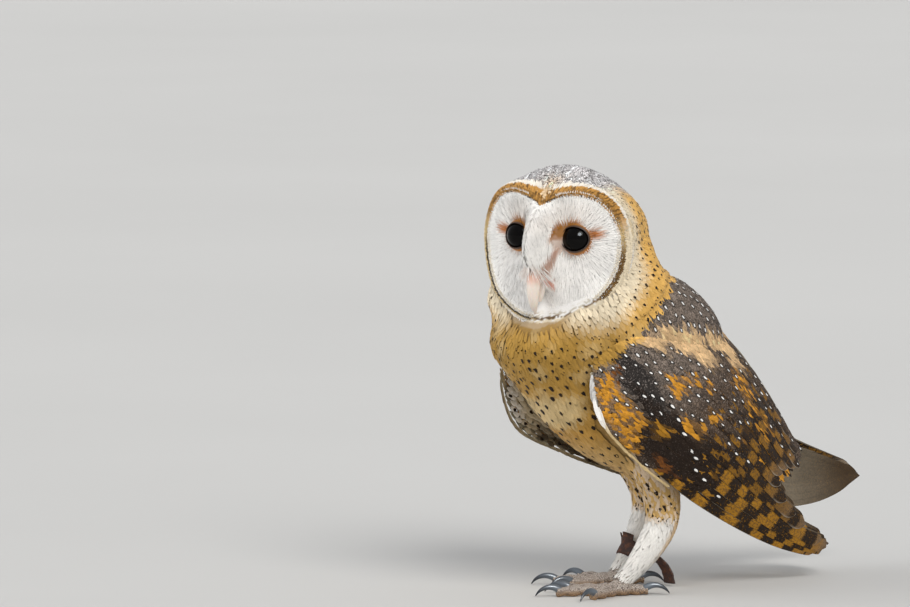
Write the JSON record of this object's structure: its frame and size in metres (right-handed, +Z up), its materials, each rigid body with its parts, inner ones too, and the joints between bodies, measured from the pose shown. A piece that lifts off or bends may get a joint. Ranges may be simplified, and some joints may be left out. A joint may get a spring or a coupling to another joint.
{
  "type": "barn owl model",
  "caption": "Life-size standing barn owl with heart-shaped face, folded wings and feathered legs, as a still display model.",
  "frame": {"origin": "on the floor, below the middle of the owl's outline box", "axes": "+Z up, -Y the way the breast faces, +X to the owl's left; the tail and wing tips reach towards +Y"},
  "size_m": [0.145, 0.3142, 0.2922],
  "materials": {
    "plumage_head": "soft feathers, white face disc, grey crown",
    "plumage_body": "soft golden buff feathers with dark spots",
    "plumage_wing": "brown and ochre barred feathers",
    "plumage_leg": "short white leg feathers",
    "toe_skin": "scaly pale skin",
    "claw_horn": "smooth slate horn",
    "eye": "wet glossy black",
    "bill_horn": "satin pale horn",
    "anklet_leather": "dark worn leather"
  },
  "bodies": {
    "root": {"head": "plumage_head", "neck": "plumage_body", "trunk": "plumage_body", "wing_left": "plumage_wing", "wing_right": "plumage_wing", "tail": "plumage_wing", "thigh_left": "plumage_body", "thigh_right": "plumage_body", "shank_left": "plumage_leg", "shank_right": "plumage_leg", "foot_left": "toe_skin", "foot_right": "toe_skin", "claw_left_hind": "claw_horn", "claw_left_inner": "claw_horn", "claw_left_middle": "claw_horn", "claw_left_outer": "claw_horn", "claw_right_hind": "claw_horn", "claw_right_inner": "claw_horn", "claw_right_middle": "claw_horn", "claw_right_outer": "claw_horn", "eye_left": "eye", "eye_right": "eye", "bill_upper": "bill_horn", "bill_lower": "bill_horn", "anklet_right": "anklet_leather", "strap_right": "anklet_leather"}
  },
  "joints": []
}
